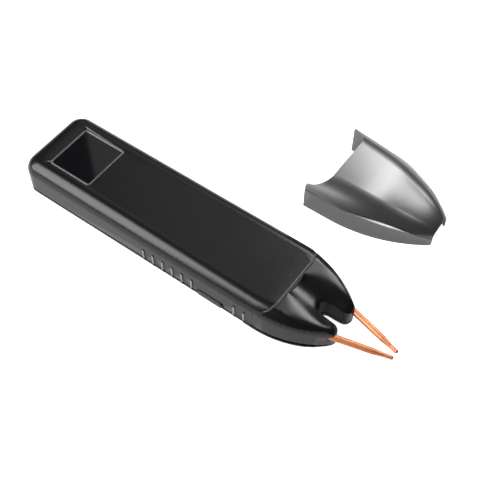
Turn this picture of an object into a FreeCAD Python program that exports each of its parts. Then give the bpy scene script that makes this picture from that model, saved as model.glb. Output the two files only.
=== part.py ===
import FreeCAD, Part
import math
import os
import Sketcher
from FreeCAD import Placement, Rotation, Vector

# A handheld spot welding pen and its slip-on guard hood, lying side by side on their
# flat undersides.  +X runs from the tail to the electrodes, +Z is up, and the origin is
# on the underside, on the centre line, below the middle of the handle.

SIZES = {
    # handle and nose
    "tail_x": -72.0, "cover_front_x": 72.3, "body_half": 21.2, "body_top": 19.5,
    "parting_z": 3.8, "tail_corner": 8.0,
    "cover_round": 6.4, "nose_round": 5.6, "finger_round": 3.3, "foot_round": 1.5,
    "seam_round": 0.45, "taper_start": 64.0, "taper_radius": 50.0,
    "wall": 1.8, "roof": 1.7, "floor": 1.6, "cavity_round": 4.8,
    # display window
    "window_mid_x": -47.55, "window_long": 25.1, "window_wide": 26.4, "window_ledge": 1.4,
    "bezel_width": 1.2, "glass_thick": 0.75, "window_corner": 1.6,
    # electrodes and their terminals
    "exit_x": 97.1, "exit_y": 8.0, "axis_z": 8.8, "lean": 14.1,
    "pin_radius": 1.5, "pin_tip_radius": 1.0, "pin_out": 26.1, "pin_in": 21.0,
    "bore_radius": 1.75, "terminal_long": 16.0, "terminal_wide": 6.0, "terminal_top": 12.0,
    "terminal_back": 24.0,
    # side button
    "button_mid_x": 40.85, "button_long": 14.4, "button_high": 3.4, "button_gap": 0.25,
    "button_proud": 0.55, "rib_proud": 0.35, "rib_wide": 1.0, "rib_top": 9.7,
    # boards, cell and screws
    "board_half": 16.8, "control_z": 7.4, "control_thick": 1.2, "control_x": -66.0,
    "control_long": 42.0, "power_x": 36.0, "power_long": 28.0, "power_z": 6.0,
    "power_thick": 1.6, "cell_x": -15.0, "cell_long": 44.0, "cell_half": 17.0,
    "cell_z": 2.6, "cell_high": 11.0, "boss_radius": 2.7, "screw_radius": 1.0,
    "screw_head": 2.1, "standoff_radius": 2.2,
    # guard hood, lying beside the pen
    "hood_y": 71.75, "hood_rear_x": 43.5, "hood_front_x": 104.5, "hood_half": 22.5,
    "hood_taper_start": 58.0, "hood_taper_radius": 78.7, "hood_wall": 1.2,
    "hood_band": 11.8, "hood_mouth_x": 52.5,
}


class Size:
    """A length: its value in millimetres and the sheet expression that drives it."""

    def __init__(self, value, text=None):
        self.value, self.text = float(value), text or f"{float(value):.6g}"

    def _join(self, other, value, sign):
        return Size(value, f"({self.text} {sign} {other.text})")

    def __add__(self, other):
        other = size(other)
        return self._join(other, self.value + other.value, "+")

    def __sub__(self, other):
        other = size(other)
        return self._join(other, self.value - other.value, "-")

    def __mul__(self, other):
        other = size(other)
        return self._join(other, self.value * other.value, "*")

    def __truediv__(self, other):
        other = size(other)
        return self._join(other, self.value / other.value, "/")

    def __radd__(self, other):
        return size(other) + self

    def __rsub__(self, other):
        return size(other) - self

    def __rmul__(self, other):
        return size(other) * self

    def __neg__(self):
        return Size(-self.value, f"(0 - {self.text})")


def size(number):
    return number if isinstance(number, Size) else Size(number)


doc = FreeCAD.newDocument("SpotWeldingPen")
sheet = doc.addObject("Spreadsheet::Sheet", "Dims")
for row, (alias, number) in enumerate(SIZES.items(), start=1):
    sheet.set(f"A{row}", alias.replace("_", " "))
    sheet.set(f"B{row}", str(number))
    sheet.setAlias(f"B{row}", alias)
doc.recompute()


class Dims:
    pass


d = Dims()
for alias, number in SIZES.items():
    setattr(d, alias, Size(number, f"Dims.{alias}"))


def drive(thing, **sizes):
    """Bind properties to the sheet; __ in a name stands for a dot."""
    for prop, value in sizes.items():
        thing.setExpression(prop.replace("__", "."), size(value).text)
    return thing


def box(name, x, y, z, long, wide, high):
    """A block from its low corner."""
    block = doc.addObject("Part::Box", name)
    return drive(block, Length=long, Width=wide, Height=high,
                 Placement__Base__x=x, Placement__Base__y=y, Placement__Base__z=z)


def rod(name, x, y, z, radius, high, axis=Vector(0, 0, 1)):
    """A cylinder from the centre of its first face."""
    bar = doc.addObject("Part::Cylinder", name)
    bar.Placement = Placement(Vector(), Rotation(Vector(0, 0, 1), axis))
    return drive(bar, Radius=radius, Height=high,
                 Placement__Base__x=x, Placement__Base__y=y, Placement__Base__z=z)


def fuse(name, parts):
    joined = doc.addObject("Part::MultiFuse", name)
    joined.Shapes = parts
    return joined


def cut(name, base, tool):
    rest = doc.addObject("Part::Cut", name)
    rest.Base, rest.Tool = base, tool
    return rest


def common(name, parts):
    shared = doc.addObject("Part::MultiCommon", name)
    shared.Shapes = parts
    return shared


def group(name, solids):
    """Loose copies of one kind of part, kept as separate solids in one node."""
    loose = doc.addObject("Part::Compound", name)
    loose.Links = solids
    return loose


def origin_plane(body, role):
    return next(o for o in body.Origin.OriginFeatures if o.Role == role)


def outline(body, name, role, points, level=0):
    """A closed outline: each point is (u, v), or (u, v, radius, side) to reach it by an arc.

    Every end point and radius is a driven dimension; side +1 bows to the left of travel.
    """
    sketch = body.newObject("Sketcher::SketchObject", name)
    sketch.AttachmentSupport = [(origin_plane(body, role), "")]
    sketch.MapMode = "FlatFace"
    sketch.AttachmentOffset = Placement(Vector(0, 0, size(level).value), Rotation())
    drive(sketch, AttachmentOffset__Base__z=level)
    points = [tuple(size(v) if i < 3 else v for i, v in enumerate(p)) for p in points]
    ends = []
    for i, point in enumerate(points):
        before = points[i - 1]
        a = Vector(before[0].value, before[1].value, 0)
        b = Vector(point[0].value, point[1].value, 0)
        if len(point) == 2:
            edge = sketch.addGeometry(Part.LineSegment(a, b))
            ends.append((edge, 1, 2))
            continue
        chord, radius, side = b - a, point[2].value, point[3]
        reach = math.sqrt(max(radius ** 2 - (chord.Length / 2) ** 2, 0))
        left = Vector(-chord.y, chord.x, 0).normalize()
        middle = (a + b) * 0.5 + left * side * (radius - reach)
        if side < 0:
            edge = sketch.addGeometry(Part.Arc(a, middle, b))
            ends.append((edge, 1, 2))
        else:
            edge = sketch.addGeometry(Part.Arc(b, middle, a))
            ends.append((edge, 2, 1))
        where = sketch.addConstraint(Sketcher.Constraint("Radius", edge, radius))
        sketch.setExpression(f"Constraints[{where}]", point[2].text)
    for i, (edge, first, last) in enumerate(ends):
        after = ends[(i + 1) % len(ends)]
        sketch.addConstraint(Sketcher.Constraint("Coincident", edge, last, after[0], after[1]))
        for kind, value in zip(("DistanceX", "DistanceY"), points[i]):
            made = Sketcher.Constraint(kind, -1, 1, edge, last, value.value)
            where = sketch.addConstraint(made)
            sketch.setExpression(f"Constraints[{where}]", value.text)
    return sketch


def pad(body, name, sketch, length, reverse=False):
    made = body.newObject("PartDesign::Pad", name)
    made.Profile, made.Reversed = sketch, reverse
    return drive(made, Length=length)


def pocket(body, name, sketch, length, reverse=False, both=False):
    made = body.newObject("PartDesign::Pocket", name)
    made.Profile, made.Reversed, made.Midplane = sketch, reverse, both
    return drive(made, Length=length)


def round_edges(body, name, radius, chosen):
    """Fillet the edges of the body's last feature that chosen(edge) picks."""
    doc.recompute()
    last = body.Tip
    names = [f"Edge{i}" for i, edge in enumerate(last.Shape.Edges, 1) if chosen(edge)]
    made = body.newObject("PartDesign::Fillet", name)
    made.Base = (last, names)
    return drive(made, Radius=radius)


def at_height(z, slack=0.01):
    return lambda edge: all(abs(v.Z - size(z).value) < slack for v in edge.Vertexes)


def body(name):
    return doc.addObject("PartDesign::Body", name)


def taper(x, half, start, radius):
    """Half width of a side that bends inwards on an arc from start."""
    run = (size(x) - start).value
    return Size(half.value - radius.value + math.sqrt(radius.value ** 2 - run ** 2),
                f"({half.text} - {radius.text} + sqrt({radius.text}^2 - "
                f"({size(x).text} - {start.text})^2))")


# ---------------------------------------------------------------- outer form of the pen
TIP_X, TIP_Y, TIP_R = 93.9, 6.94, 3.4       # rounded end of each finger, in plan
MEET_X, MEET_Y = 96.08, 9.55                # where that end runs into the curved flank
ROOT_X, ROOT_R = 87.6, 3.54                 # rounded root of the notch


def tail_end(half, tail, corner):
    return [(tail + corner, half), (tail, half - corner, corner, -1),
            (tail, corner - half), (tail + corner, -half, corner, -1)]


def forked(front):
    """The nose in plan from front forwards: two fingers with a notch between them."""
    return [(d.taper_start, -d.body_half), (MEET_X, -MEET_Y, d.taper_radius, -1),
            (TIP_X, TIP_R - TIP_Y, TIP_R, -1), (ROOT_X, -ROOT_R),
            (ROOT_X - ROOT_R, 0, ROOT_R, 1), (ROOT_X, ROOT_R, ROOT_R, 1),
            (TIP_X, TIP_Y - TIP_R), (MEET_X, MEET_Y, TIP_R, -1),
            (d.taper_start, d.body_half, d.taper_radius, -1)] + front


def whole_nose(front, start, half):
    """The nose in plan as if the notch were filled, a little longer than the fingers."""
    return [(start, -half), (98.54, -7.34, d.taper_radius, -1),
            (100.4, -3.0, 6.0, -1), (100.4, 3.0), (98.54, 7.34, 6.0, -1),
            (start, half, d.taper_radius, -1)] + front


NOSE_X = 64.6                               # rear of the nose block, under the handle's step


def sloped(form, lift):
    """Cut the nose top to a plane that falls towards the fingers."""
    side = outline(form, form.Name + "_side", "XZ_Plane", [
        (58.0, 19.6 + lift), (58.0, 24.0), (103.0, 24.0), (103.0, 14.56 + lift)])
    return pocket(form, form.Name + "_slope", side, 90, both=True)


def rim(edge):
    """Top edges of the nose, apart from its plain rear face."""
    return (all(v.Z > 12.5 for v in edge.Vertexes)
            and not all(abs(v.X - NOSE_X) < 0.1 for v in edge.Vertexes))


# the fork is wider than the nose, so that only its notch and finger ends shape the nose
fork_plan = [(MEET_X + 0.02, -MEET_Y - 0.02), (TIP_X + 0.02, TIP_R - TIP_Y - 0.02, TIP_R, -1),
             (ROOT_X, -ROOT_R - 0.02), (ROOT_X - ROOT_R - 0.02, 0, ROOT_R + 0.02, 1),
             (ROOT_X, ROOT_R + 0.02, ROOT_R + 0.02, 1), (TIP_X + 0.02, TIP_Y - TIP_R + 0.02),
             (MEET_X + 0.02, MEET_Y + 0.02, TIP_R, -1), (NOSE_X, 34.23), (NOSE_X, -34.23)]
nose_half = taper(NOSE_X, d.body_half, d.taper_start, d.taper_radius)
nose_parts = []
for name, plan, radius, lift in (("fork_form", fork_plan, d.finger_round, 0.2),
                                 ("nose_form", whole_nose([], NOSE_X, nose_half), d.nose_round, 0)):
    form = body(name)
    pad(form, name + "_pad", outline(form, name + "_plan", "XY_Plane", plan), 21)
    sloped(form, lift)
    round_edges(form, name + "_round", radius, rim)
    nose_parts.append(form)
nose = common("nose_outer", nose_parts)

# the handle: one block rounded along its top edges, ended by the step above the nose
handle = body("handle_form")
pad(handle, "handle_pad", outline(handle, "handle_plan", "XY_Plane", whole_nose(
    tail_end(d.body_half, d.tail_x, d.tail_corner), d.taper_start, d.body_half)), d.body_top)
round_edges(handle, "handle_round", d.cover_round, at_height(d.body_top))
step = body("step_form")
pad(step, "step_pad", outline(step, "step_plan", "XY_Plane", [
    (d.tail_x - 5, -30), (d.cover_front_x - 9, -30), (d.cover_front_x - 9, -d.body_half),
    (d.cover_front_x, -12.2, 9.6, -1), (d.cover_front_x, 12.2),
    (d.cover_front_x - 9, d.body_half, 9.6, -1), (d.cover_front_x - 9, 30),
    (d.tail_x - 5, 30)]), 25)
outer = fuse("pen_outer", [common("handle_outer", [handle, step]), nose])

# ---------------------------------------------------------------- hollow inside
inner_half = d.body_half - d.wall
inner_radius = d.taper_radius - d.wall
cavity = body("cavity_form")
pad(cavity, "cavity_pad", outline(cavity, "cavity_plan", "XY_Plane", [
    (67.5, -inner_half), (67.5, inner_half),
    *tail_end(inner_half, d.tail_x + d.wall, d.tail_corner - d.wall)], d.floor),
    d.body_top - d.roof - d.floor)
round_edges(cavity, "cavity_round", d.cavity_round,
            lambda e: at_height(d.body_top - d.roof)(e)
            and not all(abs(v.X - 67.5) < 0.01 for v in e.Vertexes))
front_cavity = body("front_cavity_form")
end_half = taper(79.5, inner_half, d.taper_start, inner_radius)
pad(front_cavity, "front_cavity_pad", outline(front_cavity, "front_cavity_plan", "XY_Plane", [
    (d.taper_start, -inner_half), (79.5, -end_half, inner_radius, -1), (79.5, end_half),
    (d.taper_start, inner_half, inner_radius, -1), (60, inner_half), (60, -inner_half)],
    d.floor), 12.0)
round_edges(front_cavity, "front_cavity_round", 2.0,
            lambda e: at_height(d.floor + 12.0)(e)
            and not all(v.X < 60.1 for v in e.Vertexes)
            and not all(v.X > 79.4 for v in e.Vertexes))
hollow = fuse("hollow", [cavity, front_cavity])


# ---------------------------------------------------------------- along the electrodes
def along_pin(side, name, back_off, long, wide, high, top):
    """A block lying along one electrode's axis, back_off behind its exit, below top."""
    turn = math.radians(-side * d.lean.value)
    block = doc.addObject("Part::Box", name)
    at = Vector(d.exit_x.value, side * d.exit_y.value, 0)
    reach, half = size(back_off).value, size(wide).value / 2
    corner = at + Vector(-reach * math.cos(turn) + half * math.sin(turn),
                         -reach * math.sin(turn) - half * math.cos(turn), 0)
    block.Placement = Placement(corner, Rotation(Vector(0, 0, 1), math.degrees(turn)))
    return drive(block, Length=long, Width=wide, Height=high,
                 Placement__Base__z=size(top) - high)


def pin_rod(side, name, back_off, long, radius):
    """A rod on one electrode's axis, starting back_off behind its exit."""
    turn = math.radians(-side * d.lean.value)
    line = Vector(math.cos(turn), math.sin(turn), 0)
    at = Vector(d.exit_x.value, side * d.exit_y.value, 0) - line * size(back_off).value
    bar = doc.addObject("Part::Cylinder", name)
    bar.Placement = Placement(at, Rotation(Vector(0, 0, 1), line))
    return drive(bar, Radius=radius, Height=long, Placement__Base__z=d.axis_z)


def pin_cone(side, name, back_off, long, radius, end_radius):
    """A tapered length of one electrode, thinner towards its tip."""
    turn = math.radians(-side * d.lean.value)
    line = Vector(math.cos(turn), math.sin(turn), 0)
    at = Vector(d.exit_x.value, side * d.exit_y.value, 0) - line * size(back_off).value
    taper_piece = doc.addObject("Part::Cone", name)
    taper_piece.Placement = Placement(at, Rotation(Vector(0, 0, 1), line))
    return drive(taper_piece, Radius1=radius, Radius2=end_radius, Height=long,
                 Placement__Base__z=d.axis_z)


def pin_point(side, back_off):
    """A point on one electrode's axis as x and y."""
    turn = math.radians(-side * d.lean.value)
    return (d.exit_x.value - back_off * math.cos(turn),
            side * d.exit_y.value - back_off * math.sin(turn))


# ---------------------------------------------------------------- screw and boss places
CASE_SCREWS = [(-20.0, -15.4), (-20.0, 15.4), (32.4, -15.4), (32.4, 15.4), (77.2, 0.0)]
CONTROL_POSTS = [(-61.5, -13.6), (-61.5, 13.6), (-27.0, -13.6), (-27.0, 13.6)]
POWER_POSTS = [(39.0, 13.6), (62.2, 13.6), (62.2, -13.6), (51.5, -13.6)]
CLAMP_BACK = 15.0                            # clamp screw behind the electrode's exit

parting = d.parting_z
lid = body("parting_form")
pad(lid, "parting_pad", outline(lid, "parting_plan", "XY_Plane", [
    (-80, -30), (110, -30), (110, 30), (-80, 30)], parting), 30)


def stadium(form, name, role, mid_u, mid_v, long, high, level):
    """A pill shaped outline."""
    u, v = size(mid_u), size(mid_v)
    a, r = (size(long) - high) / 2, size(high) / 2
    return outline(form, name, role, [
        (u + a, v - r), (u + a + r, v, r, -1), (u + a, v + r, r, -1),
        (u - a, v + r), (u - a - r, v, r, -1), (u - a, v - r, r, -1)], level)


def pill(name, role, mid_u, mid_v, long, high, start, depth, reverse=False):
    form = body(name)
    pad(form, name + "_pad", stadium(form, name + "_plan", role, mid_u, mid_v, long, high,
                                     start), depth, reverse)
    return form


gap = d.button_gap
button_slot = pill("button_slot", "XZ_Plane", d.button_mid_x, parting,
                   d.button_long + 2 * gap, d.button_high + 2 * gap, 18.0, 6.0)
port_slot = pill("port_slot", "YZ_Plane", 0, 10.2, 9.5, 3.7, d.tail_x - 1, 4.0)

pin_bores = [pin_rod(s, f"bore_{n}", 26, 32, d.bore_radius) for s, n in ((1, "l"), (-1, "r"))]
pockets = [along_pin(s, f"pocket_{n}", d.terminal_back + 0.2, d.terminal_long + 0.4,
                     d.terminal_wide + 0.3, d.terminal_top + 0.1 - parting,
                     d.terminal_top + 0.1) for s, n in ((1, "l"), (-1, "r"))]
window_hole = box("window_hole", d.window_mid_x - d.window_long / 2 + 1.4,
                  1.4 - d.window_wide / 2, 15, d.window_long - 2.8, d.window_wide - 2.8, 6)
window_seat = body("window_seat")


def rounded_plan(form, name, mid_x, long, wide, corner, level):
    x, a, b, r = size(mid_x), size(long) / 2, size(wide) / 2, size(corner)
    return outline(form, name, "XY_Plane", [
        (x + a - r, -b), (x + a, r - b, r, -1), (x + a, b - r), (x + a - r, b, r, -1),
        (x - a + r, b), (x - a, b - r, r, -1), (x - a, r - b), (x - a + r, -b, r, -1)], level)


seat_z = d.body_top - d.window_ledge
pad(window_seat, "window_seat_pad", rounded_plan(
    window_seat, "window_seat_plan", d.window_mid_x, d.window_long, d.window_wide,
    d.window_corner, seat_z), 3)

upper_bosses = common("upper_bosses", [fuse("upper_boss_rods", [
    rod(f"upper_boss_{i}", x, y, parting, d.boss_radius, 16)
    for i, (x, y) in enumerate(CASE_SCREWS)]), outer])
pilots = fuse("screw_pilots", [rod(f"pilot_{i}", x, y, 0, d.screw_radius + 0.05, 13)
                               for i, (x, y) in enumerate(CASE_SCREWS)])
rib_x = [3.2 + 5.5 * i for i in range(6)] + [54.0, 59.3]
rib_depth = d.rib_proud + 0.6
upper_ribs = fuse("upper_ribs", [
    box(f"upper_rib_{i}", x - d.rib_wide / 2, -d.body_half - d.rib_proud, parting,
        d.rib_wide, rib_depth, d.rib_top - parting) for i, x in enumerate(rib_x)])
lower_ribs = fuse("lower_ribs", [
    box(f"lower_rib_{i}", x - d.rib_wide / 2, -d.body_half - d.rib_proud, 1.5,
        d.rib_wide, rib_depth, parting - 1.5) for i, x in enumerate(rib_x)])

# ---------------------------------------------------------------- the two shells
upper_open = cut("upper_open", common("upper_solid", [outer, lid]), hollow)
upper_full = fuse("upper_full", [upper_open, upper_bosses, upper_ribs])
upper_shell = cut("upper_shell", upper_full, fuse("upper_cuts", [
    pilots, window_hole, window_seat, button_slot, port_slot, *pin_bores, *pockets]))

base = body("base_form")
pad(base, "base_pad", outline(base, "base_plan", "XY_Plane", forked(
    tail_end(d.body_half, d.tail_x, d.tail_corner))), parting)
round_edges(base, "base_round", d.foot_round, at_height(0))
round_edges(base, "seam_round", d.seam_round, at_height(parting))
lower_bosses = fuse("lower_bosses", [
    rod(f"lower_boss_{i}", x, y, 0.6, d.boss_radius + 0.3, parting - 0.6)
    for i, (x, y) in enumerate(CASE_SCREWS)]
    + [rod(f"control_post_{i}", x, y, 1.0, d.standoff_radius, d.control_z - 1.0)
       for i, (x, y) in enumerate(CONTROL_POSTS)]
    + [rod(f"power_post_{i}", x, y, 1.0, d.standoff_radius, d.power_z - 1.0)
       for i, (x, y) in enumerate(POWER_POSTS)])
base_hollow = cut("base_open", base, hollow)
screw_wells = fuse("screw_wells", [
    rod(f"well_{i}", x, y, -1, d.screw_head + 0.25, 2.7) for i, (x, y) in enumerate(CASE_SCREWS)]
    + [rod(f"shank_{i}", x, y, 0, d.screw_radius + 0.2, 5) for i, (x, y) in enumerate(CASE_SCREWS)]
    + [rod(f"post_hole_{i}", x, y, z + 3.6 - 5, 0.8, 5)
       for i, ((x, y), z) in enumerate([(p, d.control_z - 2.2) for p in CONTROL_POSTS]
                                       + [(p, d.power_z - 2.2) for p in POWER_POSTS])]
    + [rod(f"clamp_access_{i}", *pin_point(s, CLAMP_BACK), -1, 1.7, 6)
       for i, s in enumerate((1, -1))])
lower_shell = cut("lower_shell", fuse("lower_full", [base_hollow, lower_bosses, lower_ribs]),
                  fuse("lower_cuts", [screw_wells, button_slot]))

# ---------------------------------------------------------------- display window
window_bezel = body("window_bezel")
pad(window_bezel, "bezel_pad", rounded_plan(
    window_bezel, "bezel_plan", d.window_mid_x, d.window_long - 0.1, d.window_wide - 0.1,
    d.window_corner, seat_z), d.window_ledge - 0.05)
pocket(window_bezel, "bezel_hole", rounded_plan(
    window_bezel, "bezel_hole_plan", d.window_mid_x, d.window_long - 2 * d.bezel_width,
    d.window_wide - 2 * d.bezel_width, 0.9, d.body_top + 1), 4)
round_edges(window_bezel, "bezel_round", 0.5,
            lambda e: at_height(d.body_top - 0.05)(e))
display_window = body("display_window")
pad(display_window, "glass_pad", rounded_plan(
    display_window, "glass_plan", d.window_mid_x, d.window_long - 2 * d.bezel_width - 0.04,
    d.window_wide - 2 * d.bezel_width - 0.04, 0.88, seat_z), d.glass_thick)
display_module = fuse("display_module", [
    box("module_glass", d.window_mid_x - 10.6, -11.2, seat_z - 2.3, 21.2, 22.4, 2.2),
    box("module_board", d.window_mid_x - 12.6, -13.0, seat_z - 3.4, 25.2, 26.0, 1.1)])
display_ribbon = fuse("display_ribbon", [
    box("ribbon_top", -34.95, -5, seat_z - 3.1, 4.2, 10, 0.3),
    box("ribbon_drop", -31.05, -5, 9.6, 0.3, 10, seat_z - 2.8 - 9.6),
    box("ribbon_foot", -34.6, -5, 9.6, 3.85, 10, 0.3)])

# ---------------------------------------------------------------- control board
control_holes = fuse("control_holes", [
    rod(f"control_hole_{i}", x, y, d.control_z - 1, 1.0, 4)
    for i, (x, y) in enumerate(CONTROL_POSTS)])
control_board = cut("control_board", box("control_blank", d.control_x, -d.board_half,
                                         d.control_z, d.control_long, 2 * d.board_half,
                                         d.control_thick), control_holes)
control_top = d.control_z + d.control_thick
microcontroller = box("microcontroller", -51.0, -3.5, control_top, 7, 7, 0.9)
board_chips = group("board_chips", [
    box(f"chip_{i}", x, y, control_top, long, wide, high)
    for i, (x, y, long, wide, high) in enumerate([
        (-57.5, -9.5, 3, 3, 0.8), (-57.5, 6.0, 5, 4, 1.1), (-50.0, 8.0, 4, 4, 0.9),
        (-41.3, -8.5, 3.2, 1.6, 0.6), (-41.3, -5.0, 3.2, 1.6, 0.6), (-41.3, 6.8, 3, 3.2, 1.3),
        (-50.5, -9.5, 1.6, 0.8, 0.5), (-48.0, -9.5, 1.6, 0.8, 0.5)])])
ribbon_socket = box("ribbon_socket", -37.6, -6, control_top, 3, 12, 1.6)
buzzer = rod("buzzer", -30.5, -7.5 - 1.5, control_top, 3.0, 3.2)
port_shell = body("port_shell_form")
pad(port_shell, "port_shell_pad", stadium(port_shell, "port_shell_plan", "YZ_Plane", 0, 10.2,
                                          8.94, 3.2, d.tail_x + 0.3), 7.4)
pocket(port_shell, "port_shell_hole", stadium(port_shell, "port_hole_plan", "YZ_Plane", 0, 10.2,
                                              8.34, 2.6, d.tail_x + 0.3), 6.6, reverse=True)
charge_port_tongue = box("charge_port_tongue", d.tail_x + 1.0, -3.35, 9.85, 5.9, 6.7, 0.7)
post_screw_ends = [(p, control_top) for p in CONTROL_POSTS] + [
    (p, d.power_z + d.power_thick) for p in POWER_POSTS]
board_screws = group("board_screws", [
    fuse(f"board_screw_{i}", [rod(f"board_head_{i}", x, y, z, 1.7, 1.1),
                              rod(f"board_shank_{i}", x, y, size(z) - 4.2, 0.75, 4.3)])
    for i, ((x, y), z) in enumerate(post_screw_ends)])

# ---------------------------------------------------------------- cell and its straps
cell = body("battery_cell")
pad(cell, "cell_pad", rounded_plan(cell, "cell_plan", d.cell_x + d.cell_long / 2, d.cell_long,
                                   2 * d.cell_half, 2.0, d.cell_z), d.cell_high)
round_edges(cell, "cell_round", 1.2, lambda e: at_height(d.cell_z + d.cell_high)(e)
            or at_height(d.cell_z)(e))
foam_pad = box("foam_pad", d.cell_x + 2, -14, d.floor, d.cell_long - 4, 28, d.cell_z - d.floor)
strap_x = d.cell_x + d.cell_long
power_top = d.power_z + d.power_thick
battery_straps = group("battery_straps", [
    fuse(f"strap_{n}", [
        box(f"strap_run_{n}", strap_x, y, 10.7, 9.3, 5, 0.3),
        box(f"strap_drop_{n}", strap_x + 9, y, power_top, 0.3, 5, 11 - power_top),
        box(f"strap_foot_{n}", strap_x + 9, y, power_top, 3, 5, 0.3)])
    for n, y in (("l", 5.4), ("r", -9.6))])
signal_ribbon = fuse("signal_ribbon", [
    box("signal_rear_foot", -28.6, -1.0, 10.2, 6.0, 5, 0.3),
    box("signal_rear", -22.6, -1.0, 10.2, 0.3, 5, 4.3),
    box("signal_run", -22.6, -1.0, 14.2, 57.0, 5, 0.3),
    box("signal_front", 34.1, -1.0, 8.6, 0.3, 5, 5.9),
    box("signal_front_foot", 34.1, -1.0, 8.6, 3.6, 5, 0.3)])
ribbon_sockets = group("signal_sockets", [
    box("signal_socket_rear", -29.0, -2.0, control_top, 3.4, 7, 1.6),
    box("signal_socket_front", 36.4, -2.0, power_top, 3.4, 7, 1.0)])

# ---------------------------------------------------------------- power board
power_holes = fuse("power_holes", [
    rod(f"power_hole_{i}", x, y, d.power_z - 1, 1.0, 4) for i, (x, y) in enumerate(POWER_POSTS)])
power_board = cut("power_board", box("power_blank", d.power_x, -d.board_half, d.power_z,
                                     d.power_long, 2 * d.board_half, d.power_thick), power_holes)
power_transistors = group("power_transistors", [
    box(f"transistor_{i}_{j}", 42.6 + 6.6 * i, -8.9 + 6.4 * j, power_top, 5.2, 5.6, 1.0)
    for i in range(2) for j in range(3)])
heat_spreader = fuse("heat_spreader", [
    box("spreader_plate", 42.2, -9.2, power_top + 1.0, 13.4, 19.2, 1.2)]
    + [box(f"spreader_fin_{i}", 42.2, -9.0 + 3.0 * i, power_top + 2.1, 13.4, 0.9, 2.6)
       for i in range(7)])
button_switch = fuse("button_switch", [
    box("switch_case", d.button_mid_x - 3.0, -16.6, 2.3, 6.0, 3.4, d.power_z - 2.3),
    rod("switch_stem", d.button_mid_x, -16.6, 3.8, 0.9, 0.6, Vector(0, -1, 0))])

# ---------------------------------------------------------------- terminals and electrodes
SIDES = ((1, "left"), (-1, "right"))
terminals, electrodes, busbars = {}, {}, {}
for s, hand in SIDES:
    block = along_pin(s, hand + "_block", d.terminal_back, d.terminal_long, d.terminal_wide,
                      d.terminal_top - parting, d.terminal_top)
    well = rod(hand + "_clamp_hole", *pin_point(s, CLAMP_BACK), parting - 0.5, 1.25, 5.0)
    terminals[hand] = cut(hand + "_terminal", block, fuse(hand + "_terminal_holes", [
        pin_rod(s, hand + "_pin_hole", d.terminal_back + 1, d.terminal_long + 2,
                d.pin_radius + 0.02), well]))
    electrodes[hand] = fuse(hand + "_electrode", [
        pin_rod(s, hand + "_pin_shank", d.pin_in - 0.4, d.pin_in + 16.8, d.pin_radius),
        pin_cone(s, hand + "_pin_taper", -17.2, 5.0, d.pin_radius, d.pin_tip_radius),
        pin_rod(s, hand + "_pin_point", -22.2, d.pin_out - 22.8, d.pin_tip_radius),
        pin_cone(s, hand + "_pin_end", 0.6 - d.pin_out, 0.6, d.pin_tip_radius, 0.5)])
    foot = 11.2 if s > 0 else -16.2
    busbars[hand] = fuse(hand + "_busbar", [
        box(hand + "_bar_run", 59.0, foot, d.terminal_top, 20.3, 5, 1.0),
        box(hand + "_bar_drop", 59.0, foot, power_top, 1.0, 5, d.terminal_top + 1 - power_top),
        box(hand + "_bar_foot", 56.6, foot, power_top, 3.4, 5, 0.8)])
clamp_screws = group("clamp_screws", [
    rod(f"clamp_screw_{hand}", *pin_point(s, CLAMP_BACK), 4.1, 1.2, 3.15)
    for s, hand in SIDES])
case_screws = group("case_screws", [
    cut(f"case_screw_{i}", fuse(f"case_screw_solid_{i}", [
        rod(f"case_head_{i}", x, y, 0.35, d.screw_head, 1.3),
        rod(f"case_shank_{i}", x, y, 1.6, d.screw_radius, 10.4)]),
        fuse(f"case_drive_{i}", [box(f"drive_a_{i}", x - 1.2, y - 0.25, 0, 2.4, 0.5, 1.05),
                                 box(f"drive_b_{i}", x - 0.25, y - 1.2, 0, 0.5, 2.4, 1.05)]))
    for i, (x, y) in enumerate(CASE_SCREWS)])

# ---------------------------------------------------------------- side button
button = body("button_cap")
face = d.body_half + d.button_proud
pad(button, "button_pad", stadium(button, "button_plan", "XZ_Plane", d.button_mid_x, parting,
                                  d.button_long, d.button_high, 19.0), face - 19.0)
round_edges(button, "button_round", 0.45,
            lambda e: all(abs(v.Y + face.value) < 0.01 for v in e.Vertexes))
flange = pill("button_flange", "XZ_Plane", d.button_mid_x, parting, d.button_long - 3.4,
              d.button_high + 0.8, 18.0, 1.1)
side_button = fuse("side_button", [button, flange])

# ---------------------------------------------------------------- guard hood
HOOD = [  # station, half width, shoulder height, crown half width, crown edge, crown centre
    (43.5, 22.15, 15.2, 11.2, 19.2, 19.5), (52.5, 22.15, 13.9, 11.2, 19.1, 19.4),
    (62.0, 22.1, 12.4, 11.2, 18.8, 19.1), (76.0, 20.05, 11.0, 9.8, 17.1, 17.5),
    (88.0, 16.2, 9.4, 7.4, 13.7, 14.3), (98.0, 11.25, 7.8, 5.2, 10.8, 11.3),
    (104.5, 6.95, 5.2, 3.4, 7.4, 7.9)]


def section(form, name, station, half, shoulder, crown_half, edge, top, thin=0.0, low=0.0):
    """Cross-section of the hood: upright sides, rounded shoulders and an arched crown."""
    w, k, e, t = half - thin, crown_half - thin * 0.6, edge - thin, top - thin
    corner = math.hypot(w - k, e - shoulder)
    arch = (k * k + (t - e) ** 2) / (2 * (t - e))
    return outline(form, name, "YZ_Plane", [
        (w, low), (w, shoulder), (k, e, corner * 1.2, -1), (-k, e, arch, -1),
        (-w, shoulder, corner * 1.2, -1), (-w, low)], station)


def loft(form, name, kind, sections):
    made = form.newObject(f"PartDesign::{kind}Loft", name)
    made.Profile, made.Sections = sections[0], sections[1:]
    made.Ruled = False
    return made


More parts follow.
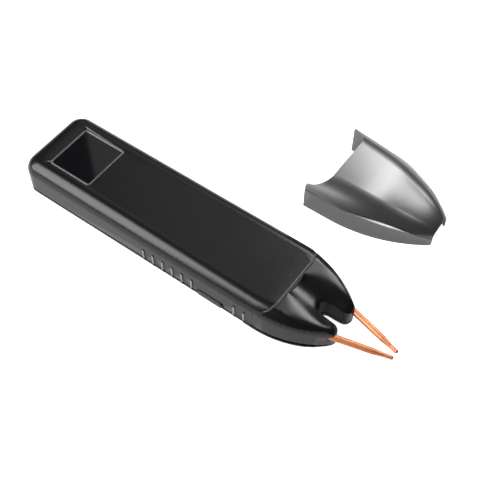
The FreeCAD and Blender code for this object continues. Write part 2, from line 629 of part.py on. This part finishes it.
hood = body("guard_hood")
rear, front = d.hood_rear_x, d.hood_front_x
band_end = taper(front, d.hood_half, d.hood_taper_start, d.hood_taper_radius)
pad(hood, "hood_band", outline(hood, "hood_plan", "XY_Plane", [
    (rear, -d.hood_half), (d.hood_taper_start, -d.hood_half),
    (front, -band_end, d.hood_taper_radius, -1), (front, band_end),
    (d.hood_taper_start, d.hood_half, d.hood_taper_radius, -1), (rear, d.hood_half)]),
    d.hood_band)
pocket(hood, "hood_band_top", outline(hood, "hood_crease", "XZ_Plane", [
    (72.0, 14.0), (72.0, d.hood_band), (front + 1, 4.1, 74.0, 1), (front + 1, 14.0)]),
    60, both=True)
loft(hood, "hood_crown", "Additive", [
    section(hood, f"crown_{i}", *station) for i, station in enumerate(HOOD)])
thin_stations = [(41.0, *HOOD[0][1:])] + HOOD[1:-1] + [(104.5, *HOOD[-1][1:])]
loft(hood, "hood_inside", "Subtractive", [
    section(hood, f"inside_{i}", *station, thin=d.hood_wall.value - 0.35 + 0.1 * (i == 0), low=-1.0)
    for i, station in enumerate(thin_stations)])
mouth = d.hood_mouth_x
pocket(hood, "hood_mouth", outline(hood, "hood_mouth_plan", "XY_Plane", [
    (mouth - 9, -21.2), (mouth, -12.2, 9.6, -1), (mouth, 12.2), (mouth - 9, 21.2, 9.6, -1),
    (rear - 3, 21.2), (rear - 3, -21.2)], 25), 20)
pocket(hood, "hood_ears", outline(hood, "hood_ear_side", "XZ_Plane", [
    (rear - 3, 12.0), (rear, 12.0), (rear + 2.4, 18.6, 7.0, 1), (rear + 2.4, 24), (rear - 3, 24)]),
    60, both=True)
drive(hood, Placement__Base__y=d.hood_y)

# ---------------------------------------------------------------- checks and export
PIECES = {
    "upper_shell": upper_shell, "lower_shell": lower_shell, "case_screws": case_screws,
    "window_bezel": window_bezel, "display_window": display_window,
    "display_module": display_module, "display_ribbon": display_ribbon,
    "ribbon_socket": ribbon_socket, "control_board": control_board,
    "microcontroller": microcontroller, "board_chips": board_chips, "buzzer": buzzer,
    "charge_port_shell": port_shell, "charge_port_tongue": charge_port_tongue,
    "board_screws": board_screws, "battery_cell": cell, "foam_pad": foam_pad,
    "battery_straps": battery_straps, "signal_ribbon": signal_ribbon,
    "signal_sockets": ribbon_sockets, "power_board": power_board,
    "power_transistors": power_transistors, "heat_spreader": heat_spreader,
    "button_switch": button_switch, "side_button": side_button,
    "left_busbar": busbars["left"], "right_busbar": busbars["right"],
    "left_terminal": terminals["left"], "right_terminal": terminals["right"],
    "clamp_screws": clamp_screws,
    "left_electrode": electrodes["left"], "right_electrode": electrodes["right"],
    "guard_hood": hood,
}
for name, piece in PIECES.items():
    piece.Label = name
doc.recompute()
for thing in doc.Objects:
    if "Invalid" in thing.State or "Error" in thing.State:
        raise RuntimeError(f"{thing.Name} failed: {thing.State}")
for name, piece in PIECES.items():
    if piece.Shape.isNull() or not piece.Shape.isValid() or not piece.Shape.Solids:
        raise RuntimeError(f"{name} has no valid solid")
os.makedirs("parts", exist_ok=True)
for name, piece in PIECES.items():
    piece.Shape.exportStep(f"parts/{name}.step")
    print(f"{name}: {len(piece.Shape.Solids)} solid(s), {piece.Shape.Volume:.1f} mm3")
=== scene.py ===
import math

import bpy
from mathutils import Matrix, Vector


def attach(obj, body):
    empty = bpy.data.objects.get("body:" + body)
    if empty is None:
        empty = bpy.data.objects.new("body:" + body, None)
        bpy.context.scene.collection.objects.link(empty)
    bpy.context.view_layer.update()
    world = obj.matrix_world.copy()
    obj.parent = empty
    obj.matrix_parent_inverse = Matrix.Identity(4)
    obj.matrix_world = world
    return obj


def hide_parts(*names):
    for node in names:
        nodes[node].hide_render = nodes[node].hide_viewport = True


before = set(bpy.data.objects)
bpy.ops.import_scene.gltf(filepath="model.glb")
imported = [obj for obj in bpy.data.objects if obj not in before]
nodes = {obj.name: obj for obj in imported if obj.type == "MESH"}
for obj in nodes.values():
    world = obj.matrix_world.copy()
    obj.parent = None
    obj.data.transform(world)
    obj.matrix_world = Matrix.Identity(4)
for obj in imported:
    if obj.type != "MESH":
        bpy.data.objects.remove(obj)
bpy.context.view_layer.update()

# ---- Bench, camera and light -------------------------------------------------------
# The pen lies on a plain white bench. Soft boxes stand round it: a tall one at the tail
# for the streak on the rounded long edge, small ones for the nose and the grey hood, and
# a dim card whose straight edge shows in the display glass.
camera_place = (0.1768, -0.1849, 0.3454)
camera_aim = (0.03492, 0.00952, 0.009)
lens, film_width = 68.0, 36.0
bench_size = 6
bench_glow, bench_glow_seen = 0.25, 0.75     # own light, and what is added for the camera
room_glow, room_glow_seen = 0.03, 0.97

camera_data = bpy.data.cameras.new("bench_camera")
camera_data.lens, camera_data.sensor_width = lens, film_width
camera_data.clip_start, camera_data.clip_end = 0.01, 20
camera = bpy.data.objects.new("bench_camera", camera_data)
camera.location = camera_place
camera.rotation_mode = "QUATERNION"
camera.rotation_quaternion = (Vector(camera_aim) - camera.location).to_track_quat("-Z", "Y")
bpy.context.collection.objects.link(camera)
bpy.context.scene.camera = camera
bpy.context.scene.view_settings.view_transform = "Standard"


def brighter_when_seen(tree, target, own, added):
    """Feed a strength that is higher for what the camera sees than for what it lights."""
    seen = tree.nodes.new("ShaderNodeLightPath")
    glow = tree.nodes.new("ShaderNodeMath")
    glow.operation = "MULTIPLY_ADD"
    glow.inputs[1].default_value, glow.inputs[2].default_value = added, own
    tree.links.new(seen.outputs["Is Camera Ray"], glow.inputs[0])
    tree.links.new(glow.outputs[0], target)


bpy.ops.object.select_all(action="DESELECT")
bpy.ops.mesh.primitive_plane_add(size=bench_size, location=(0, 0, 0))
bench = bpy.context.object
bench.name = "bench"
bench_white = bpy.data.materials.new("bench_white")
bench_white.use_nodes = True
white = bench_white.node_tree.nodes["Principled BSDF"]
white.inputs["Base Color"].default_value = (0.85, 0.85, 0.85, 1)
white.inputs["Roughness"].default_value = 1.0
white.inputs["Specular IOR Level"].default_value = 0.0
white.inputs["Emission Color"].default_value = (1, 1, 1, 1)
brighter_when_seen(bench_white.node_tree, white.inputs["Emission Strength"], bench_glow,
                   bench_glow_seen)
bench.data.materials.append(bench_white)

room = bpy.data.worlds.new("pale_room")
bpy.context.scene.world = room
room.use_nodes = True
air = room.node_tree.nodes["Background"]
air.inputs["Color"].default_value = (1, 1, 1, 1)
brighter_when_seen(room.node_tree, air.inputs["Strength"], room_glow, room_glow_seen)


def soft_box(name, place, target, wide, high, power):
    """A rectangular soft box that faces the target."""
    lamp = bpy.data.lights.new(name, "AREA")
    lamp.shape, lamp.size, lamp.size_y, lamp.energy = "RECTANGLE", wide, high, power
    holder = bpy.data.objects.new(name, lamp)
    holder.location = place
    holder.rotation_mode = "QUATERNION"
    holder.rotation_quaternion = (Vector(target) - Vector(place)).to_track_quat("-Z", "Y")
    bpy.context.collection.objects.link(holder)


soft_box("tail_box", (-0.46, -0.50, 0.52), (-0.03, 0, 0.01), 0.60, 0.80, 12.0)
soft_box("nose_box", (0.11, 0.31, 0.45), (0.08, 0, 0.01), 0.15, 0.15, 0.6)
soft_box("hood_box", (0.05, 0.84, 0.74), (0.07, 0.07, 0), 0.60, 0.34, 5.5)
soft_box("glass_card", (-0.223, 0.409, 0.470), (0.083, 0.154, 0.020), 0.40, 0.50, 0.30)


# ---- Black moulded shells ----------------------------------------------------------
# Two halves of gloss black ABS, injection moulded and screwed together from below. The
# nose is sculpted: two round fingers with a soft valley between them, one per electrode.
# Its sizes are in millimetres.
nose_back, nose_front, nose_half, nose_high = 58, 98.4, 21.3, 24
flank_x, flank_arc, flank_centre = 64, 51.0, 29.7
top_start, top_slope = (72, 0, 18.0), 0.125
belly_start, belly_slope = (84, 0, 0), 0.15
shoulder_round = 5.6
valley_round, valley_start, valley_end = 12, (50, 0, 34.5), (110, 0, 18.8)
fingertip_round, fingertip_x, fingertip_y, fingertip_z = 5.1, 93.0, 7.8, 8.5
notch_half, notch_root = 2.6, 86.6
cover_front, cover_corner = 72.35, 10.8
core_tail, core_half, core_corner = -71.0, 20.4, 7.5
seam_deep, seam_low, seam_high = 0.6, 3.00, 3.82
# where the painted highlight goes: the rib faces, and the cover's front riser above a set
# height
rib_face, cover_edge_back, cover_edge_low = -21.5, 60.0, 17.0
clay_grain, fine_clay_grain = 0.6, 0.45
first_start, first_rounds = 71.5, 170
last_start, last_rounds = 74.5, 110


def settle(thing):
    """Put an object's place, turn and size into its mesh."""
    bpy.ops.object.select_all(action="DESELECT")
    thing.select_set(True)
    bpy.context.view_layer.objects.active = thing
    bpy.ops.object.transform_apply(location=True, rotation=True, scale=True)


def block(name, low, high):
    """A block between two corners given in millimetres."""
    bpy.ops.object.select_all(action="DESELECT")
    bpy.ops.mesh.primitive_cube_add(
        size=1, location=[(a + b) / 2000 for a, b in zip(low, high)],
        scale=[(b - a) / 1000 for a, b in zip(low, high)])
    bpy.context.object.name = name
    settle(bpy.context.object)
    return bpy.context.object


def bar(name, radius, start, end, sides=96):
    """A round bar between two points given in millimetres."""
    start, end = Vector(start) / 1000, Vector(end) / 1000
    along = end - start
    bpy.ops.object.select_all(action="DESELECT")
    bpy.ops.mesh.primitive_cylinder_add(
        vertices=sides, radius=radius / 1000, depth=along.length,
        location=(start + end) / 2, rotation=along.to_track_quat("Z", "Y").to_euler())
    bpy.context.object.name = name
    settle(bpy.context.object)
    return bpy.context.object


def ball(name, radius, place):
    """A ball at a point given in millimetres."""
    bpy.ops.object.select_all(action="DESELECT")
    bpy.ops.mesh.primitive_uv_sphere_add(segments=48, ring_count=24, radius=radius / 1000,
                                         location=Vector(place) / 1000)
    bpy.context.object.name = name
    settle(bpy.context.object)
    return bpy.context.object


def finish_with(thing, kind, **settings):
    """Add one modifier and apply it."""
    bpy.context.view_layer.objects.active = thing
    step = thing.modifiers.new(kind.lower(), kind)
    for key, value in settings.items():
        setattr(step, key, value)
    bpy.ops.object.modifier_apply(modifier=step.name)


def join_shape(thing, other, how):
    """Unite, cut or intersect with another solid, which is used up."""
    finish_with(thing, "BOOLEAN", object=other, operation=how, solver="EXACT")
    bpy.data.objects.remove(other)


def slice_off(thing, point, outwards):
    """Cut away what lies beyond a plane, and close the cut."""
    bpy.ops.object.select_all(action="DESELECT")
    thing.select_set(True)
    bpy.context.view_layer.objects.active = thing
    bpy.ops.object.mode_set(mode="EDIT")
    bpy.ops.mesh.select_all(action="SELECT")
    bpy.ops.mesh.bisect(plane_co=[v / 1000 for v in point], plane_no=outwards,
                        use_fill=True, clear_outer=True)
    bpy.ops.object.mode_set(mode="OBJECT")


def round_uprights(thing, in_front, radius, steps):
    """Round the two upright edges at the front or back of a block."""
    for edge in thing.data.edges:
        a, b = (thing.data.vertices[i].co for i in edge.vertices)
        upright = abs(a.z - b.z) > 0.01
        edge.select = upright and (a.x > 0) == in_front
    for face in thing.data.polygons:
        face.select = False
    bpy.ops.object.mode_set(mode="EDIT")
    bpy.ops.mesh.select_mode(type="EDGE")
    bpy.ops.mesh.bevel(offset=radius / 1000, segments=steps)
    bpy.ops.object.mode_set(mode="OBJECT")


def knead(thing, grain):
    """Turn a solid into even small faces, as clay for smoothing."""
    finish_with(thing, "REMESH", mode="VOXEL", voxel_size=grain / 1000)


def soften(thing, start, rounds):
    """Smooth the clay, but nothing behind the start and little low down on its belly."""
    run, flank_lag, belly, belly_rise, least = 0.006, 0.7, 0.001, 0.004, 0.15
    soft = thing.vertex_groups.new(name="soft")
    for corner in thing.data.vertices:
        x, y, z = corner.co
        reach = (x - start / 1000 - max(abs(y) - 0.014, 0) * flank_lag) / run
        reach = min(max(reach, 0), 1) * min(max((z - belly) / belly_rise, least), 1)
        soft.add([corner.index], reach * reach * (3 - 2 * reach), "REPLACE")
    finish_with(thing, "SMOOTH", factor=0.5, iterations=rounds, vertex_group="soft")
    thing.vertex_groups.clear()


def closed_copy(name, node):
    """A copy of a CAD node's mesh with its loose triangles merged."""
    piece = nodes[node].copy()
    piece.data = nodes[node].data.copy()
    piece.name = name
    bpy.context.collection.objects.link(piece)
    bpy.ops.object.select_all(action="DESELECT")
    piece.select_set(True)
    bpy.context.view_layer.objects.active = piece
    bpy.ops.object.mode_set(mode="EDIT")
    bpy.ops.mesh.select_all(action="SELECT")
    bpy.ops.mesh.remove_doubles(threshold=2e-6)
    bpy.ops.object.mode_set(mode="OBJECT")
    return piece


# the wedge of the nose: curved flanks, a sloping top and a belly that rises to the tips
nose = block("nose_clay", (nose_back, -nose_half, 0), (nose_front, nose_half, nose_high))
for side in (-1, 1):
    flank = bar("flank", flank_arc, (flank_x, side * flank_centre, -5),
                (flank_x, side * flank_centre, 30), 256)
    join_shape(nose, flank, "INTERSECT")
slice_off(nose, top_start, (top_slope, 0, 1))
finish_with(nose, "BEVEL", width=shoulder_round / 1000, segments=8, limit_method="ANGLE",
            angle_limit=math.radians(50))
slice_off(nose, belly_start, (belly_slope, 0, -1))

# the valley, pressed in and smoothed
knead(nose, clay_grain)
join_shape(nose, bar("valley", valley_round, valley_start, valley_end), "DIFFERENCE")
knead(nose, clay_grain)
soften(nose, first_start, first_rounds)

# full round fingertips, the notch between them, and a last smoothing
for side in (-1, 1):
    tip = ball("fingertip", fingertip_round, (fingertip_x, side * fingertip_y, fingertip_z))
    join_shape(nose, tip, "UNION")
notch = bar("notch", notch_half, (notch_root, 0, -5), (notch_root, 0, 30))
mouth = block("notch_mouth", (notch_root, -notch_half, -5), (110, notch_half, 30))
join_shape(notch, mouth, "UNION")
join_shape(nose, notch, "DIFFERENCE")
knead(nose, fine_clay_grain)
soften(nose, last_start, last_rounds)

# behind the nose the handle keeps its full height under the cover
cover = block("cover_block", (-90, -23, -3), (cover_front, 23, 25))
round_uprights(cover, True, cover_corner, 14)
join_shape(nose, cover, "UNION")

upper = closed_copy("upper_moulding", "upper_shell")
lower = closed_copy("lower_moulding", "lower_shell")
for piece in (upper, lower):
    finish_with(piece, "BOOLEAN", object=nose, operation="INTERSECT", solver="EXACT")

# a groove runs all round the pen where the two halves meet
inner = nose.copy()
inner.data = nose.data.copy()
bpy.context.collection.objects.link(inner)
finish_with(inner, "DISPLACE", strength=-seam_deep / 1000, mid_level=0.0)
core = block("handle_core", (core_tail, -core_half, -1), (150, core_half, 25))
round_uprights(core, False, core_corner, 12)
join_shape(inner, core, "INTERSECT")
groove = block("seam_groove", (-80, -30, seam_low), (110, 30, seam_high))
join_shape(groove, inner, "DIFFERENCE")
join_shape(lower, groove, "DIFFERENCE")
bpy.data.objects.remove(nose)
for piece, node in ((upper, "upper_shell"), (lower, "lower_shell")):
    bpy.ops.object.select_all(action="DESELECT")
    piece.select_set(True)
    bpy.context.view_layer.objects.active = piece
    bpy.ops.object.shade_smooth_by_angle(angle=math.radians(32))
    finish_with(piece, "WEIGHTED_NORMAL", keep_sharp=True, weight=100)
    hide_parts(node)
    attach(piece, "pen")


def effect_group(name, inputs, outputs):
    """An empty shader group: its tree, its two ends and the object coordinates."""
    tree = bpy.data.node_groups.new(name, "ShaderNodeTree")
    for socket, value in inputs.items():
        if value is None:
            tree.interface.new_socket(socket, in_out="INPUT", socket_type="NodeSocketVector")
        else:
            made = tree.interface.new_socket(socket, in_out="INPUT",
                                             socket_type="NodeSocketFloat")
            made.default_value = value
    for socket in outputs:
        tree.interface.new_socket(socket, in_out="OUTPUT", socket_type="NodeSocketFloat")
    return (tree, tree.nodes.new("NodeGroupInput"), tree.nodes.new("NodeGroupOutput"),
            tree.nodes.new("ShaderNodeTexCoord").outputs["Object"])


def noise(tree, where, scale, detail):
    """A noise texture read at the given coordinates."""
    texture = tree.nodes.new("ShaderNodeTexNoise")
    texture.inputs["Scale"].default_value = scale
    texture.inputs["Detail"].default_value = detail
    tree.links.new(where, texture.inputs["Vector"])
    return texture


def stretched_mask(tree, value, low, high):
    """Turn the band between two values into a mask from none to full."""
    band = tree.nodes.new("ShaderNodeMapRange")
    band.inputs["From Min"].default_value, band.inputs["From Max"].default_value = low, high
    tree.links.new(value, band.inputs["Value"])
    return band.outputs["Result"]


def moulded_finish():
    """What moulded plastic keeps: cloudy gloss, a fine grain and a few faint specks."""
    tree, given, result, place = effect_group(
        "moulded_finish", {"Base": 0.2, "Spread": 0.1, "Grain Scale": 2400.0},
        ("Roughness", "Height", "Speck"))
    link = tree.links.new
    cloud = noise(tree, place, 45, 4)
    grain = noise(tree, place, 2400, 2)
    speck = noise(tree, place, 2500, 1)
    link(given.outputs["Grain Scale"], grain.inputs["Scale"])
    centred = tree.nodes.new("ShaderNodeMath")
    centred.operation = "SUBTRACT"
    centred.inputs[1].default_value = 0.5
    link(cloud.outputs["Fac"], centred.inputs[0])
    rough = tree.nodes.new("ShaderNodeMath")
    rough.operation = "MULTIPLY_ADD"
    link(centred.outputs[0], rough.inputs[0])
    link(given.outputs["Spread"], rough.inputs[1])
    link(given.outputs["Base"], rough.inputs[2])
    link(rough.outputs[0], result.inputs["Roughness"])
    link(grain.outputs["Fac"], result.inputs["Height"])
    link(stretched_mask(tree, speck.outputs["Fac"], 0.80, 0.86), result.inputs["Speck"])
    return tree


moulded_group = moulded_finish()


def new_finish(name, group, values):
    """A material with a shared effect placed in it: its tree, shader and the effect."""
    material = bpy.data.materials.new(name)
    material.use_nodes = True
    tree = material.node_tree
    effect = tree.nodes.new("ShaderNodeGroup")
    effect.node_tree = group
    for socket, value in values.items():
        effect.inputs[socket].default_value = value
    return material, tree, tree.nodes["Principled BSDF"], effect


def colour_over(tree, under, over, mask):
    """One colour over another where the mask is full; either may be a socket."""
    mix = tree.nodes.new("ShaderNodeMix")
    mix.data_type = "RGBA"
    if isinstance(under, tuple):
        mix.inputs["A"].default_value = (*under, 1)
    else:
        tree.links.new(under, mix.inputs["A"])
    mix.inputs["B"].default_value = (*over, 1)
    tree.links.new(mask, mix.inputs["Factor"])
    return mix


def raise_surface(tree, height, strength, distance):
    """Feed a height to the shader as a bump."""
    bumps = tree.nodes.new("ShaderNodeBump")
    bumps.inputs["Strength"].default_value = strength
    bumps.inputs["Distance"].default_value = distance
    tree.links.new(height, bumps.inputs["Height"])
    tree.links.new(bumps.outputs["Normal"], tree.nodes["Principled BSDF"].inputs["Normal"])


def plastic(name, colour, rough, spread, grain_scale=2400.0, bump=0.02,
            speck=(0.05, 0.05, 0.05)):
    """A moulded plastic with the shared unevenness."""
    material, tree, shade, uneven = new_finish(
        name, moulded_group, {"Base": rough, "Spread": spread, "Grain Scale": grain_scale})
    specked = colour_over(tree, colour, speck, uneven.outputs["Speck"])
    tree.links.new(specked.outputs["Result"], shade.inputs["Base Color"])
    tree.links.new(uneven.outputs["Roughness"], shade.inputs["Roughness"])
    raise_surface(tree, uneven.outputs["Height"], bump, 0.0001)
    return material


def clad(material, *names):
    """Give CAD nodes a finished material in place of their plain one."""
    for name in names:
        nodes[name].data.materials.clear()
        nodes[name].data.materials.append(material)


shell_black = plastic("shell_gloss_black", (0.006, 0.006, 0.007), 0.27, 0.10)
shell_black.node_tree.nodes["Principled BSDF"].inputs["Specular IOR Level"].default_value = 0.38
# The ribs and the riser along the cover's front edge get a lighter grey: a painted highlight
# for the light they catch.
painted_highlight_grey = plastic("rib_painted_highlight_grey", (0.20, 0.20, 0.20), 0.40, 0.10)
# The groove floor where the halves meet is made darker and matt, so the seam shows as a dark
# line: painted shade in the groove.
seam_painted_shade = plastic("seam_painted_shade_black", (0.002, 0.002, 0.002), 0.90, 0.08)
seam_painted_shade.node_tree.nodes["Principled BSDF"].inputs["Specular IOR Level"].default_value = 0.05
clad(shell_black, "side_button")
for piece in (upper, lower):
    piece.data.materials.clear()
    for material in (shell_black, painted_highlight_grey, seam_painted_shade):
        piece.data.materials.append(material)
    for face in piece.data.polygons:
        x, y, z = face.center * 1000
        # rib faces and the cover's front riser take the lighter grey of the painted highlight
        on_rib = y < rib_face
        on_cover_edge = (cover_edge_back < x < cover_front + 0.35 and z > cover_edge_low
                         and face.normal.x > 0.45)
        # faces on the groove floor take the darker matt black of the painted shade
        in_seam = seam_low - 0.03 < z < seam_high + 0.03 and not on_rib
        face.material_index = 1 if on_rib or on_cover_edge else 2 if in_seam else 0


# ---- Display window ----------------------------------------------------------------
# A smoked glass pane in a thin black frame, pressed into a ledge in the upper shell. The
# display module sits under it and hangs on a short flat ribbon.
display_pitch = 0.0005

clad(plastic("bezel_black", (0.10, 0.10, 0.105), 0.16, 0.06), "window_bezel")
clad(plastic("smoked_pane", (0.004, 0.004, 0.005), 0.05, 0.02, 900.0, 0.0,
             (0.01, 0.01, 0.012)), "display_window")
clad(plastic("display_black", (0.012, 0.013, 0.018), 0.30, 0.10, 1800.0, 0.05),
     "display_module")


def striped_film(name, colour, stripe, pitch, across):
    """Flat ribbon: thin conductors showing through a film."""
    material = plastic(name, colour, 0.35, 0.12, 1200.0, 0.03, stripe)
    tree = material.node_tree
    place, wave = tree.nodes.new("ShaderNodeTexCoord"), tree.nodes.new("ShaderNodeTexWave")
    wave.bands_direction = across
    wave.inputs["Scale"].default_value = math.pi / (10 * pitch)
    wave.inputs["Distortion"].default_value = 0.0
    tree.links.new(place.outputs["Object"], wave.inputs["Vector"])
    mix = next(n for n in tree.nodes if n.bl_idname == "ShaderNodeMix")
    tree.links.new(stretched_mask(tree, wave.outputs["Fac"], 0.45, 0.6), mix.inputs["Factor"])
    return material


clad(striped_film("display_film", (0.42, 0.16, 0.02), (0.66, 0.36, 0.10), display_pitch, "Y"),
     "display_ribbon")
clad(plastic("socket_nylon", (0.72, 0.69, 0.60), 0.42, 0.12, 2000.0, 0.06, (0.6, 0.57, 0.48)),
     "ribbon_socket", "signal_sockets")


# ---- Control board -----------------------------------------------------------------
# A green fibreglass board: copper tracks show through the lacquer and every hole has a
# tinned ring. It carries the controller, small chips, the buzzer and the charge port.
track_low, track_high, pad_out, pad_in = 0.055, 0.065, 0.13, 0.11


def board_pattern():
    """Masks for the tracks and pads of a printed board."""
    tree, given, result, place = effect_group("board_pattern", {"Pitch": 300.0},
                                              ("Tracks", "Pads"))
    link = tree.links.new
    lines, dots = (tree.nodes.new("ShaderNodeTexVoronoi") for _ in range(2))
    lines.distance = "CHEBYCHEV"
    for texture in (lines, dots):
        texture.feature = "F1"
        link(place, texture.inputs["Vector"])
        link(given.outputs["Pitch"], texture.inputs["Scale"])
    ripple = tree.nodes.new("ShaderNodeMath")
    ripple.operation = "PINGPONG"
    ripple.inputs[1].default_value = 0.12
    link(lines.outputs["Distance"], ripple.inputs[0])
    link(stretched_mask(tree, ripple.outputs[0], track_low, track_high),
         result.inputs["Tracks"])
    link(stretched_mask(tree, dots.outputs["Distance"], pad_out, pad_in),
         result.inputs["Pads"])
    return tree


board_group = board_pattern()


def printed_board(name, lacquer, track, pad, pitch):
    """Lacquered board with tracks and pads."""
    material, tree, shade, pattern = new_finish(name, board_group, {"Pitch": pitch})
    shade.inputs["Roughness"].default_value = 0.30
    tracks = colour_over(tree, lacquer, track, pattern.outputs["Tracks"])
    pads = colour_over(tree, tracks.outputs["Result"], pad, pattern.outputs["Pads"])
    tree.links.new(pads.outputs["Result"], shade.inputs["Base Color"])
    tree.links.new(pattern.outputs["Pads"], shade.inputs["Metallic"])
    raise_surface(tree, pattern.outputs["Tracks"], 0.15, 0.00005)
    return material


clad(printed_board("control_lacquer", (0.010, 0.085, 0.028), (0.020, 0.150, 0.045),
                   (0.62, 0.60, 0.55), 330.0), "control_board")
clad(plastic("chip_black", (0.018, 0.018, 0.020), 0.55, 0.12, 3000.0, 0.12,
             (0.05, 0.05, 0.05)), "microcontroller", "board_chips", "power_transistors")
clad(plastic("buzzer_black", (0.015, 0.015, 0.016), 0.40, 0.15, 1500.0, 0.10), "buzzer")
clad(plastic("switch_black", (0.020, 0.020, 0.022), 0.45, 0.12, 1500.0, 0.08), "button_switch")
clad(plastic("port_tongue_black", (0.014, 0.014, 0.015), 0.35, 0.10, 1800.0, 0.05),
     "charge_port_tongue")


def metal_grain():
    """Directional scratches and a blotchy tarnish for bare metal."""
    tree, given, result, place = effect_group(
        "metal_grain", {"Base": 0.3, "Spread": 0.15, "Blotch Scale": 160.0, "Stretch": None},
        ("Roughness", "Height", "Tarnish"))
    link = tree.links.new
    stretch = tree.nodes.new("ShaderNodeVectorMath")
    stretch.operation = "MULTIPLY"
    link(place, stretch.inputs[0])
    link(given.outputs["Stretch"], stretch.inputs[1])
    scratch = noise(tree, stretch.outputs[0], 1.0, 4)
    blotch = noise(tree, place, 160.0, 5)
    link(given.outputs["Blotch Scale"], blotch.inputs["Scale"])
    rough = tree.nodes.new("ShaderNodeMath")
    rough.operation = "MULTIPLY_ADD"
    link(scratch.outputs["Fac"], rough.inputs[0])
    link(given.outputs["Spread"], rough.inputs[1])
    link(given.outputs["Base"], rough.inputs[2])
    link(rough.outputs[0], result.inputs["Roughness"])
    link(scratch.outputs["Fac"], result.inputs["Height"])
    link(stretched_mask(tree, blotch.outputs["Fac"], 0.42, 0.72), result.inputs["Tarnish"])
    return tree


metal_group = metal_grain()


def metal(name, colour, tarnish, rough, spread, stretch, bump=0.05, metallic=1.0):
    """Bare metal with scratches along one way and a slight tarnish."""
    material, tree, shade, grain = new_finish(
        name, metal_group, {"Base": rough, "Spread": spread, "Stretch": stretch})
    shade.inputs["Metallic"].default_value = metallic
    tarnished = colour_over(tree, colour, tarnish, grain.outputs["Tarnish"])
    tree.links.new(tarnished.outputs["Result"], shade.inputs["Base Color"])
    tree.links.new(grain.outputs["Roughness"], shade.inputs["Roughness"])
    raise_surface(tree, grain.outputs["Height"], bump, 0.00005)
    return material


clad(metal("port_tin", (0.62, 0.62, 0.60), (0.48, 0.48, 0.46), 0.22, 0.15, (400, 2500, 2500)),
     "charge_port_shell")


# ---- Battery -----------------------------------------------------------------------
# A foil pouch cell on a grey foam pad. Two nickel straps, spot welded to its tabs, carry
# the current forward to the power board.
clad(metal("pouch_foil", (0.66, 0.67, 0.68), (0.55, 0.56, 0.57), 0.30, 0.22,
           (260, 900, 260), 0.45), "battery_cell")
clad(plastic("pad_foam", (0.11, 0.11, 0.12), 0.85, 0.10, 1100.0, 0.9, (0.04, 0.04, 0.04)),
     "foam_pad")
clad(metal("strap_nickel", (0.62, 0.58, 0.50), (0.50, 0.46, 0.38), 0.24, 0.16,
           (300, 3000, 3000)), "battery_straps")

# ---- Power board -------------------------------------------------------------------
# A second board carries six power transistors under an aluminium plate that spreads their
# heat. A flat ribbon brings the control signal from the other board.
signal_pitch = 0.0010

clad(printed_board("power_lacquer", (0.008, 0.070, 0.024), (0.24, 0.115, 0.045),
                   (0.60, 0.58, 0.53), 190.0), "power_board")
clad(metal("plate_aluminium", (0.70, 0.71, 0.72), (0.60, 0.61, 0.62), 0.26, 0.18,
           (250, 3200, 3200)), "heat_spreader")
clad(striped_film("signal_film", (0.40, 0.40, 0.42), (0.10, 0.10, 0.11), signal_pitch, "Y"),
     "signal_ribbon")

# ---- Screws ------------------------------------------------------------------------
# Plated machine screws for the two boards, black self-tapping screws that close the case
# from below, and steel clamp screws that hold the electrodes in their blocks.
turned = (1800, 1800, 600)     # fine rings left by the lathe

clad(metal("board_screw_plating", (0.66, 0.64, 0.58), (0.48, 0.45, 0.40), 0.22, 0.14, turned),
     "board_screws")
clad(metal("case_screw_black", (0.045, 0.045, 0.048), (0.09, 0.085, 0.08), 0.32, 0.14, turned,
           0.05, 0.8), "case_screws")
clad(metal("clamp_screw_steel", (0.34, 0.34, 0.35), (0.22, 0.21, 0.20), 0.26, 0.14, turned),
     "clamp_screws")

# ---- Electrodes --------------------------------------------------------------------
# Two drawn copper alloy pins, ground to a slimmer point and clamped in brass blocks. Flat
# copper bars join the blocks to the power board.
clad(metal("pin_copper", (0.66, 0.26, 0.12), (0.54, 0.20, 0.09), 0.42, 0.14,
           (350, 1600, 1600), 0.04, 0.85), "left_electrode", "right_electrode")
clad(metal("bar_copper", (0.66, 0.25, 0.11), (0.45, 0.17, 0.09), 0.26, 0.18,
           (350, 2500, 2500)), "left_busbar", "right_busbar")
clad(metal("block_brass", (0.70, 0.50, 0.20), (0.52, 0.35, 0.13), 0.22, 0.16,
           (2200, 300, 2200)), "left_terminal", "right_terminal")

# ---- Guard hood --------------------------------------------------------------------
# A thin moulded plastic hood, sprayed in satin gunmetal. It slips over the nose to guard
# the electrodes, and lies on the bench beside the pen.
hood_grey = plastic("hood_gunmetal", (0.16, 0.16, 0.16), 0.32, 0.08, 3000.0, 0.06,
                    (0.2, 0.2, 0.2))
hood_grey.node_tree.nodes["Principled BSDF"].inputs["Metallic"].default_value = 0.8
clad(hood_grey, "guard_hood")
